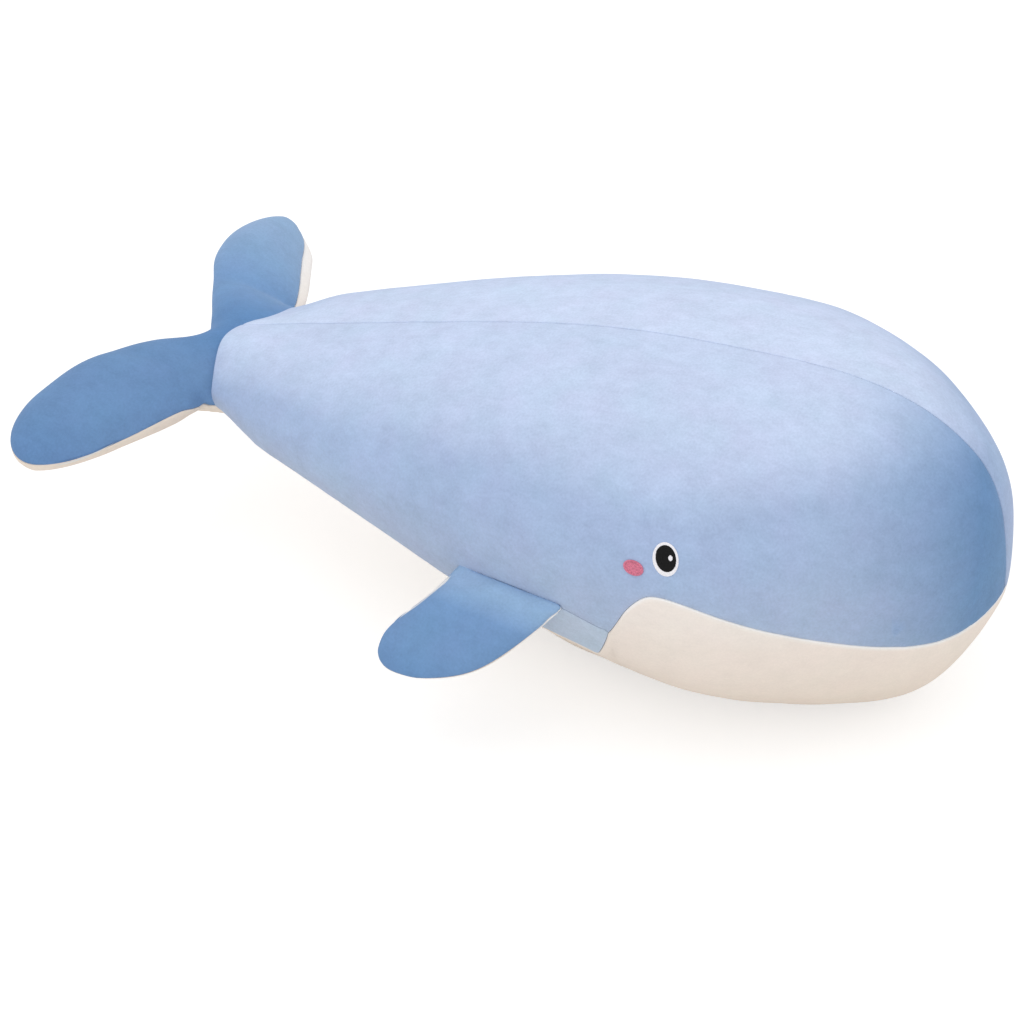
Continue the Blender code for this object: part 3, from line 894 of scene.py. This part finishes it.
# Width of the painted highlight along an edge, where the fabric's rolled edge and pile catch the light,
# in metres
EDGE_HIGHLIGHT = 0.0014
# The chin's painted highlight: its width, and where along the body it starts, in metres
CHIN_HIGHLIGHT = 0.0045
CHIN_HIGHLIGHT_START = (0.16, 0.19)
# Where painted shade darkens the nose, standing in partly for the pile's nap: how far from the nose it
# starts, how long it takes, and its slant
NOSE_SHADE_START = 0.185
NOSE_SHADE_LENGTH = 0.155
NOSE_SHADE_SLANT = 0.35


def mouth_corner(points, top):
    """1 at the mouth's lower right, where its rim lies high, and 0 in the rest of it."""
    low = 1 - ease(points[:, 2], top - 0.05, top)
    return low * ease(-points[:, 1] / (MOUTH_WIDTH / 2), 0.2, 0.9)


def drape(points):
    """The rim's soft bulge over the tail, and the belly's tuck under the flippers."""
    draped = points.copy()
    aside = points[:, 1] / (MOUTH_WIDTH / 2)
    upness = ease(points[:, 2], MOUTH_HEIGHT - 0.035, MOUTH_HEIGHT + 0.035)
    near = ease(-points[:, 0], -MOUTH_X - RIM_REACH, -MOUTH_X)
    draped[:, 0] -= RIM_BULGE * upness * near * (1 - ease(np.abs(aside + 0.30), 0.0, 0.80))
    draped[:, 2] -= RIM_SINK * upness * near * ease(aside, -0.45, 0.6)
    draped += np.outer(near * mouth_corner(points, MOUTH_HEIGHT + 0.04), RIM_RAISE)
    rearward = 1 - ease(points[:, 0], -0.12, 0.02)
    slope = BELLY_SEAM_SLOPE * np.clip(BELLY_SEAM_BEND - points[:, 0], 0, 0.45)
    seam_height = BELLY_SEAM_HEIGHT + slope + BELLY_SEAM_RISE * rearward
    below = 1 - ease(points[:, 2], seam_height - 0.035 - 0.045 * rearward, seam_height)
    above = ease(points[:, 2], 0.004, 0.045)
    front = ease(points[:, 0], -0.03, 0.05)
    tuck = TUCK_REAR * ease(points[:, 0], -0.33, -0.22) * (1 - front)
    tuck += TUCK_FRONT * front * (1 - ease(points[:, 0], 0.05, 0.24))
    pull = np.sign(points[:, 1]) * tuck * below * above
    draped[:, 1] -= pull * ease(np.abs(points[:, 1]), 0.08, 0.17)
    return draped


ROLL_RADIUS = 0.0020
ROLL_DEG = (25, 50, 75, 100, 125)


def roll_rim(skin):
    """Rolls the cloth in round the tail, row by row."""
    rim = sorted(rim_points(skin))
    edge = points_of(skin)[rim]
    outward = normals_of(skin)[rim]
    back = np.tile((-1.0, 0.0, 0.0), (len(rim), 1))
    back -= outward * (back * outward).sum(axis=1, keepdims=True)
    back /= np.linalg.norm(back, axis=1, keepdims=True)
    last = edge.copy()
    order = np.arange(len(rim))
    for turn in np.radians(ROLL_DEG):
        added = lengthen_rim(skin)
        points = points_of(skin)
        tree = tree_of(last)
        order = order[[tree.find(place)[1] for place in points[added]]]
        points[added] = (
            edge[order] + back[order] * ROLL_RADIUS * math.sin(turn)
            - outward[order] * ROLL_RADIUS * (1 - math.cos(turn))
        )
        last = points[added]
        move_points(skin, points)


def shape_body(skin):
    """Drape, lumps of the stuffing and puckers beside the seams."""
    move_points(skin, drape(points_of(skin)))
    shorten_gussets(skin)
    edge_points = points_of(skin)[sorted(seam_points(skin))]
    away = distance_from(points_of(skin), edge_points)
    crumple(skin, 0.11, 0.003, ease(away, 0.0, 0.03))
    points = points_of(skin)
    nose = points[np.argmax(points[:, 0])]
    slides = ease(np.linalg.norm(points - nose, axis=1), *NOSE_FAN)
    draw_in_seams(skin, slides, 1 - CROWN_EASE * (1 - ease(np.abs(points[:, 1]), 0.0, 0.03)))
    crumple(skin, 0.014, 0.0009, (1 - ease(away, 0.002, 0.022)))
    keep_off_floor(skin)
    roll_rim(skin)


def highlight_near(piece, chosen, width):
    """How strongly a painted highlight lies along some edge of a piece, where the fabric catches the
    light.
    """
    points = points_of(piece)
    away = distance_from(points, points[chosen])
    return np.exp(-(away / width) ** 2)


def paint_body(piece, side):
    """Painted light: paler where the skin faces up, partly the pile's nap and sheen, a painted highlight
    along the rear rim, and painted shade towards the nose.
    """
    points = points_of(piece)
    normals = normals_of(piece)
    up = normals[:, 2]
    # Painted light: paler the more the skin faces up, more so on the left side
    facing_light = 0.5 * ease(up, -0.4, 0.5) + (0.40 if side < 0 else 0.50) * ease(up, 0.60, 1.05)
    rim = [k for k in sorted(rim_points(piece)) if points[k][0] < MOUTH_X + RIM_REACH / 4]
    paint(piece, "lit", np.maximum(facing_light, highlight_near(piece, rim, EDGE_HIGHLIGHT)))
    # Painted shade darkening towards the nose, little of it on the left panel near the crown seam
    across = points[:, 1] * side
    ahead = points[:, 0] - NOSE_SHADE_SLANT * across
    nose = np.clip((ahead - (FRONT_END - NOSE_SHADE_START)) / NOSE_SHADE_LENGTH, 0, 1) ** 1.5
    if side > 0:
        nose *= 0.08 + 0.80 * ease(across, 0.05, 0.12)
    paint(piece, "stroked", nose)


def paint_belly(piece):
    """Painted light on the cream: a painted highlight along the chin's edge, and lower parts darker and
    warmer.
    """
    points = points_of(piece)
    top = [k for k in sorted(rim_points(piece)) if points[k][0] > 0.165]
    lit = 0.6 * ease(points[:, 2], 0.03, 0.20)
    chin_highlight = highlight_near(piece, top, CHIN_HIGHLIGHT) * ease(points[:, 0], *CHIN_HIGHLIGHT_START)
    paint(piece, "lit", np.maximum(lit, chin_highlight))


def make_body(finishes):
    skin = make_body_skin()
    shape_body(skin)
    tree = BVHTree.FromObject(skin, bpy.context.evaluated_depsgraph_get())
    for number, node in enumerate(BODY_PANELS):
        piece = cut_panel(skin, number, node.replace("_panel", "_plush").replace("gusset", "strip"))
        if "side" in node:
            paint_body(piece, -1 if node.startswith("right") else 1)
            slot = "light_blue_plush"
        elif "gusset" in node:
            slot = "gusset_plush"
        else:
            paint_belly(piece)
            slot = "cream_plush"
        line_with_backing(piece)
        keep_off_floor(piece)
        dress(piece, slot, finishes, node)
        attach(piece, BODY)
    bpy.data.objects.remove(skin)
    return tree


# Tail and flippers

# Points this near a limb's seam only make a ledge beside it, and join it, in metres
LEDGE = 0.0042


def join_ledges(skin):
    """Joins the points that lie close beside a limb's seam to the seam."""
    points = points_of(skin)
    seam = sorted(seam_points(skin))
    tree = tree_of(points[seam])
    groups = {}
    for k in range(len(points)):
        _, number, away = tree.find(points[k])
        if away < LEDGE:
            groups.setdefault(number, []).append(k)
    for group in groups.values():
        points[group] = points[group].mean(axis=0)
    move_points(skin, points)
    edit_faces(skin)
    bpy.ops.mesh.remove_doubles(threshold=POINT_WELD)
    close_edit()


def make_limb_skin(limb):
    """The skin of a stuffed limb, raised from its stuffing, with each face given to its fabric."""
    skin = copy_of(limb + "_stuffing", limb + "_skin")
    give_panels(skin, (limb + "_top", limb + "_underside"))
    pair_facets(skin)
    move_points(skin, points_of(skin) + normals_of(skin) * FABRIC_OUT)
    join_ledges(skin)
    fit_through(skin, 2)
    even_seams(skin, 8)
    relax(skin, seam_points(skin), 40)
    stuff(skin, seam_points(skin), LIMB_SWELL)
    subdivide(skin, 1)
    return skin


def finish_limb(skin, limb, finishes, paint_limb):
    draw_in_seams(skin)
    pieces = []
    for number, (half, slot) in enumerate((("_top", "mid_blue_plush"), ("_underside", "cream_plush"))):
        piece = cut_panel(skin, number, limb + half + "_plush")
        paint_limb(piece)
        line_with_backing(piece)
        dress(piece, slot, finishes, limb + half)
        pieces.append(piece)
    bpy.data.objects.remove(skin)
    return pieces


def paint_tail(piece):
    points = points_of(piece)
    # Painted light: paler towards the left fluke. Painted shade in the notch between the flukes and at
    # the right fluke's tip.
    paint(piece, "lit", 0.85 * ease(points[:, 1], -0.06, 0.22))
    notch_shade = 0.7 * (1 - ease(np.abs(points[:, 1]), 0.01, 0.08))
    paint(piece, "stroked", np.maximum(notch_shade, 0.35 * ease(-points[:, 1], 0.18, 0.26)))


# How the tail lies: turned to its left, its right fluke raised, and its left one drawn back, in metres
TAIL_TURN_SLOPE = 0.030
FLUKE_LIFT = 0.009
FLUKE_BACK = (-0.0078, 0.0, 0.0010)
# The right fluke's rear edge is full near the notch, and its front edge lies high by the body
REAR_FULLNESS = (-0.005, 0.0, 0.009)
FRONT_LIFT = 0.0085
NOTCH_FORWARD = 0.0025
# How full the underside is along the front edges
EDGE_FULLNESS = 0.010
EDGE_WALL = 0.0035
EDGE_REACH = 0.024


def lay_tail(points):
    x, y = points[:, 0], points[:, 1]
    behind = ease(MOUTH_X - x, 0.0, 0.05)
    rear = ease(-x, 0.35, 0.40)
    laid = points.copy()
    laid[:, 0] += TAIL_TURN_SLOPE * y * behind
    laid[:, 2] += FLUKE_LIFT * ease(-y, 0.02, 0.11) * behind
    laid += np.outer(ease(y, 0.08, 0.18) * behind, FLUKE_BACK)
    laid += np.outer(ease(-y, -0.01, 0.07) * (1 - ease(-y, 0.07, 0.17)) * rear, REAR_FULLNESS)
    laid[:, 0] += NOTCH_FORWARD * ease(y, 0.02, 0.05) * (1 - ease(y, 0.09, 0.13)) * rear
    front = ease(x, -0.42, -0.34) * ease(MOUTH_X - x, 0.004, 0.016)
    laid[:, 2] += FRONT_LIFT * front * ease(-y, 0.06, 0.10) * (1 - 0.8 * ease(-y, 0.12, 0.22))
    root = 1 - ease(MOUTH_X - x, 0.0, 0.03)
    return laid + np.outer(root * mouth_corner(points, MOUTH_HEIGHT), RIM_RAISE)


def fill_front_edges(skin):
    """Rounds the underside out along the flukes' front edges."""
    under = underside_points(skin)
    points = points_of(skin)
    normals = normals_of(skin)
    y = points[:, 1]
    behind = ease(MOUTH_X - points[:, 0], 0.0, 0.022)
    leading = [k for k in sorted(seam_points(skin)) if normals[k][0] > 0.3 and behind[k] > 0]
    away = distance_from(points, points[leading])
    fullness = EDGE_FULLNESS * (1 - np.exp(-away / EDGE_WALL)) * np.exp(-away / EDGE_REACH)
    right_share = 1.5 - 0.5 * ease(-y, 0.12, 0.18) - 1.0 * ease(-y, 0.16, 0.25)
    left_share = 1.0 + 0.1 * ease(y, 0.11, 0.18) - 1.1 * ease(y, 0.205, 0.255)
    fullness *= under * behind * np.where(y < 0, right_share, left_share)
    ahead = ease(y, 0.0, 0.10)[:, None]
    down = normals * (0.3, 0.3, 0.0) - (0.0, 0.0, 1.0)
    wall = np.array((2.0, 0.0, -0.4))
    move_points(skin, points + (down * (1 - ahead) + wall * ahead) * fullness[:, None])
    relax(skin, seam_points(skin), 8)


def make_tail(finishes):
    skin = make_limb_skin("tail")
    fill_front_edges(skin)
    move_points(skin, lay_tail(points_of(skin)))
    for piece in finish_limb(skin, "tail", finishes, paint_tail):
        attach(piece, "tail")
    make_fill("tail_stuffing", "tail", finishes, lay_tail)


# How a flipper sits in its slit: set forward, and its root drawn up and in, in metres
FLIPPER_FORWARD = 0.0063
ROOT_UP = 0.0035
ROOT_IN = 0.0030
ROOT_REACH = 0.016
# Its front edge lies back and its underside flat, so that neither shows below the top, in metres
FRONT_BACK = 0.0060
UNDERSIDE_SHARE = 0.35


def flatten_underside(skin, over, reach):
    """Draws a flipper's underside up towards the plane of its edge seam."""
    points = points_of(skin)
    seam = sorted(seam_points(skin))
    under = underside_points(skin)
    flat = np.eye(3) - np.outer(over, over)
    tree = tree_of(points[seam] @ flat)
    for k in np.nonzero(under)[0]:
        near = tree.find_n(points[k] @ flat, 12)
        weights = np.array([1 / (distance + 0.004) for _, _, distance in near])
        heights = np.array([points[seam[number]] @ over for _, number, _ in near])
        level = (weights * heights).sum() / weights.sum()
        depth = points[k] @ over - level
        if depth < 0:
            share = 1 - (1 - UNDERSIDE_SHARE) * ease(reach[k], 0.004, 0.020)
            points[k] += over * (share - 1) * depth
    move_points(skin, points)


def make_flipper(side, finishes):
    limb = side + "_fin"
    joint = next(joint for joint in frame["joints"] if joint["child"] == limb)
    hinge = HINGES[limb]
    axis = np.array(joint["axis"])
    low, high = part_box(limb + "_stuffing")
    out = (np.array(low) + np.array(high)) / 2 - hinge
    out -= axis * out.dot(axis)
    out /= np.linalg.norm(out)

    forward = axis * math.copysign(1, axis[0])
    over = np.cross(forward, out)
    over *= math.copysign(1, over[2])

    def lay_flipper(points):
        reach = (points - hinge) @ out
        root = 1 - ease(reach, 0.0, ROOT_REACH)
        laid = points + np.outer(root, (0.0, -math.copysign(ROOT_IN, hinge[1]), ROOT_UP))
        laid[:, 0] += FLIPPER_FORWARD
        place = (points - hinge) @ forward
        front = ease(place, -0.01, 0.05) * ease(reach, 0.0, 0.012) * (1 - 0.4 * ease(reach, 0.06, 0.11))
        laid[:, 0] -= FRONT_BACK * front
        return laid

    def paint_fin(piece):
        reach = (points_of(piece) - hinge) @ out
        # Painted light: lighter near the flipper's root, and painted shade towards its far edge.
        paint(piece, "lit", 0.3 + 0.6 * (1 - ease(reach, 0.0, 0.055)))
        paint(piece, "stroked", 0.3 * ease(reach, 0.07, 0.12))

    skin = make_limb_skin(limb)
    flatten_underside(skin, over, (points_of(skin) - hinge) @ out)
    move_points(skin, lay_flipper(points_of(skin)))
    for piece in finish_limb(skin, limb, finishes, paint_fin):
        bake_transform(piece)
    make_fill(limb + "_stuffing", limb, finishes, lay_flipper)


# Stuffing under the fabric
FILL_INSET = 0.0030


def make_fill(node, body, finishes, lay=None):
    piece = copy_of(node, node.replace("stuffing", "fill"))
    pair_facets(piece)
    move_points(piece, points_of(piece) - normals_of(piece) * FILL_INSET)
    if lay:
        move_points(piece, lay(points_of(piece)))
    subdivide(piece, 1)
    only(piece)
    bpy.ops.object.shade_smooth()
    dress(piece, "fibre_fill", finishes, node)
    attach(piece, body)


# Embroidery

class Patch:
    """A flat sewing hoop laid against the skin where an embroidered patch goes."""

    def __init__(self, tree, node, tilt_deg, shift):
        low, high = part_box(node)
        centre = (low + high) / 2 + Vector((shift[0], 0, shift[1]))
        side = -1 if centre.y < 0 else 1
        self.tree = tree
        start = Vector((centre.x, side, centre.z))
        self.middle, self.normal, _, _ = tree.ray_cast(start, Vector((0, -side, 0)))
        if self.normal.y * side < 0:
            self.normal = -self.normal
        forward = Vector((1, 0, 0))
        forward = (forward - self.normal * forward.dot(self.normal)).normalized()
        up = Vector((0, 0, 1))
        up = (up - self.normal * up.dot(self.normal)).normalized()
        tilt = math.radians(tilt_deg)
        self.across = forward * math.cos(tilt) + up * math.sin(tilt)
        self.upwards = up * math.cos(tilt) - forward * math.sin(tilt)

    def at(self, across, up, lift):
        """A point over the skin, by its place on the hoop."""
        flat = self.middle + self.across * across + self.upwards * up
        hit = self.tree.ray_cast(flat + self.normal * HOOP_HEIGHT, -self.normal)[0]
        return hit + self.normal * lift


def sew(name, runs, thread):
    """Threads along some runs of points, as one piece."""
    curve = bpy.data.curves.new(name, "CURVE")
    curve.dimensions = "3D"
    curve.bevel_depth = thread
    curve.bevel_resolution = 1
    curve.use_fill_caps = True
    for run in runs:
        spline = curve.splines.new("POLY")
        spline.points.add(len(run) - 1)
        for point, place in zip(spline.points, run):
            point.co = (*place, 1.0)
    piece = bpy.data.objects.new(name, curve)
    bpy.context.collection.objects.link(piece)
    only(piece)
    bpy.ops.object.convert(target="MESH")
    bpy.ops.object.shade_smooth()
    return bpy.context.view_layer.objects.active


def chord(size, turn, offset):
    """Where a row of stitches at some angle enters and leaves an oval, or None beside it."""
    a, b = size[0] / 2, size[1] / 2
    way = (math.cos(turn), math.sin(turn))
    start = (-math.sin(turn) * offset, math.cos(turn) * offset)
    square = (way[0] / a) ** 2 + (way[1] / b) ** 2
    middle = way[0] * start[0] / a ** 2 + way[1] * start[1] / b ** 2
    rest = (start[0] / a) ** 2 + (start[1] / b) ** 2 - 1
    inside = middle ** 2 - square * rest
    if inside <= 0:
        return None
    root = math.sqrt(inside)
    ends = [(-middle + sign * root) / square for sign in (-1, 1)]
    return [(start[0] + way[0] * end, start[1] + way[1] * end) for end in ends]


STITCH_STEP = 0.0011
STITCH_DIP = 0.00016


def fill_runs(patch, size, turn_deg, lift, shift=(0.0, 0.0)):
    """Rows of fill stitch across an oval. The needle holes of one row fall beside the last one's."""
    turn = math.radians(turn_deg)
    half = max(size) / 2
    count = int(2 * half / THREAD_PITCH)
    runs = []
    for row in range(count + 1):
        ends = chord(size, turn, -half + THREAD_PITCH * row)
        if ends is None:
            continue
        (x0, y0), (x1, y1) = ends
        steps = max(3, int(math.hypot(x1 - x0, y1 - y0) / STITCH_STEP))
        run = []
        for step in range(steps + 1):
            share = step / steps
            edge = min(share, 1 - share) * steps
            dip = STITCH_DIP if (step + 2 * row) % 5 == 0 else 0.0
            height = lift * min(1.0, 0.35 + 0.4 * edge) - dip
            across = shift[0] + x0 + (x1 - x0) * share
            up = shift[1] + y0 + (y1 - y0) * share
            run.append(patch.at(across, up, height))
        runs.append(run)
    return runs


def ring_runs(patch, outer, inner, lift, shift):
    """Satin stitches laid side by side round an oval ring."""
    length = math.pi * (outer[0] + outer[1]) / 2
    count = int(length / THREAD_PITCH)
    runs = []
    for number in range(count):
        turn = 2 * math.pi * number / count
        run = []
        for share in (0.0, 0.12, 0.35, 0.65, 0.88, 1.0):
            across = math.cos(turn) * (inner[0] + (outer[0] - inner[0]) * share) / 2
            up = math.sin(turn) * (inner[1] + (outer[1] - inner[1]) * share) / 2
            arch = 0.3 + 0.7 * math.sin(math.pi * min(max(share, 0.08), 0.92))
            run.append(patch.at(across + shift[0] * share, up + shift[1] * share, lift * arch))
        runs.append(run)
    return runs


def make_face(tree, finishes):
    for side in ("right", "left"):
        eye = Patch(tree, side + "_eye_pupil", EYE_TILT_DEG, EYE_SHIFT)
        cheek = Patch(tree, side + "_cheek", CHEEK_TILT_DEG, CHEEK_SHIFT)
        inner = (PUPIL[0] * PUPIL_INSIDE, PUPIL[1] * PUPIL_INSIDE)
        border = (CHEEK[0] * CHEEK_INSIDE[0], CHEEK[1] * CHEEK_INSIDE[1])
        white = ring_runs(eye, EYE_WHITE, inner, EYE_WHITE_LIFT, EYE_WHITE_SHIFT)
        pupil = fill_runs(eye, PUPIL, PUPIL_STITCH_DEG, PUPIL_LIFT)
        glint = fill_runs(eye, GLINT, 0, GLINT_LIFT, GLINT_SHIFT)
        blush = fill_runs(cheek, CHEEK, CHEEK_STITCH_DEG, CHEEK_LIFT)
        blush += ring_runs(cheek, CHEEK, border, CHEEK_BORDER_LIFT, (0, 0))
        sewn = (
            ("_eye_white", "white_thread", white),
            ("_eye_pupil", "black_thread", pupil),
            ("_eye_glint", "white_thread", glint),
            ("_cheek", "pink_thread", blush),
        )
        for part, slot, runs in sewn:
            piece = sew(side + part + "_stitches", runs, THREAD)
            dress(piece, slot, finishes, side + part)
            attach(piece, BODY)


# Stage

CAMERA_TARGET = Vector((-0.0347, 0.0, 0.0735))
CAMERA_AZIMUTH_DEG = 25.0
CAMERA_ELEVATION_DEG = 38.0
CAMERA_DISTANCE = 3.028
CAMERA_LENS = 105.2
CAMERA_SENSOR = 36


def place_camera():
    azimuth = math.radians(CAMERA_AZIMUTH_DEG)
    elevation = math.radians(CAMERA_ELEVATION_DEG)
    back = Vector((
        math.sin(azimuth) * math.cos(elevation),
        -math.cos(azimuth) * math.cos(elevation),
        math.sin(elevation),
    ))
    bpy.ops.object.camera_add(
        location=CAMERA_TARGET + back * CAMERA_DISTANCE,
        rotation=(-back).to_track_quat("-Z", "Y").to_euler(),
    )
    camera = bpy.context.object
    camera.data.lens = CAMERA_LENS
    camera.data.sensor_width = CAMERA_SENSOR
    bpy.context.scene.camera = camera


FLOOR_SIZE = 16
FLOOR_TONE = 0.92
SHADOW_TONE = 0.60
PAPER_GLOW = 0.56
SKY_LEVEL = 0.86
LAMP_PLACE = Vector((-0.5, -0.6, 3.2))
LAMP_SIZE = 2.4
LAMP_POWER = 16


def seen_directly(finish):
    """1 for the camera, and for what shines or shows through, else 0."""
    rays = finish.tree.nodes.new("ShaderNodeLightPath")
    camera, glossy, through = (
        Sum(finish, rays.outputs[name])
        for name in ("Is Camera Ray", "Is Glossy Ray", "Is Transmission Ray")
    )
    return camera + glossy + through


def make_floor():
    bpy.ops.mesh.primitive_plane_add(size=FLOOR_SIZE)
    floor = bpy.context.object
    floor.name = "studio_floor"
    finish = Finish("studio_paper")
    seen = seen_directly(finish)
    greys = [(tone, tone, tone, 1) for tone in (FLOOR_TONE, SHADOW_TONE)]
    floor.data.materials.append(finish.surface(
        Base_Color=finish.mix(seen, *greys),
        Roughness=1.0,
        Specular_IOR_Level=0.0,
        Emission_Color=(1, 1, 1, 1),
        Emission_Strength=seen * PAPER_GLOW,
    ))


def light_room():
    sky = Finish("studio_sky", bpy.data.worlds, "Background")
    strength = SKY_LEVEL + (1 - SKY_LEVEL) * seen_directly(sky)
    bpy.context.scene.world = sky.surface(Color=WHITE, Strength=strength)
    turn = (-LAMP_PLACE).to_track_quat("-Z", "Y").to_euler()
    bpy.ops.object.light_add(type="AREA", location=LAMP_PLACE, rotation=turn)
    lamp = bpy.context.object
    lamp.data.size = LAMP_SIZE
    lamp.data.energy = LAMP_POWER
    bpy.context.scene.view_settings.view_transform = "Standard"


def main():
    finishes = make_finishes()
    tree = make_body(finishes)
    make_tail(finishes)
    make_flipper("right", finishes)
    make_flipper("left", finishes)
    make_fill("body_stuffing", BODY, finishes, drape)
    make_face(tree, finishes)
    make_floor()
    light_room()
    place_camera()


main()
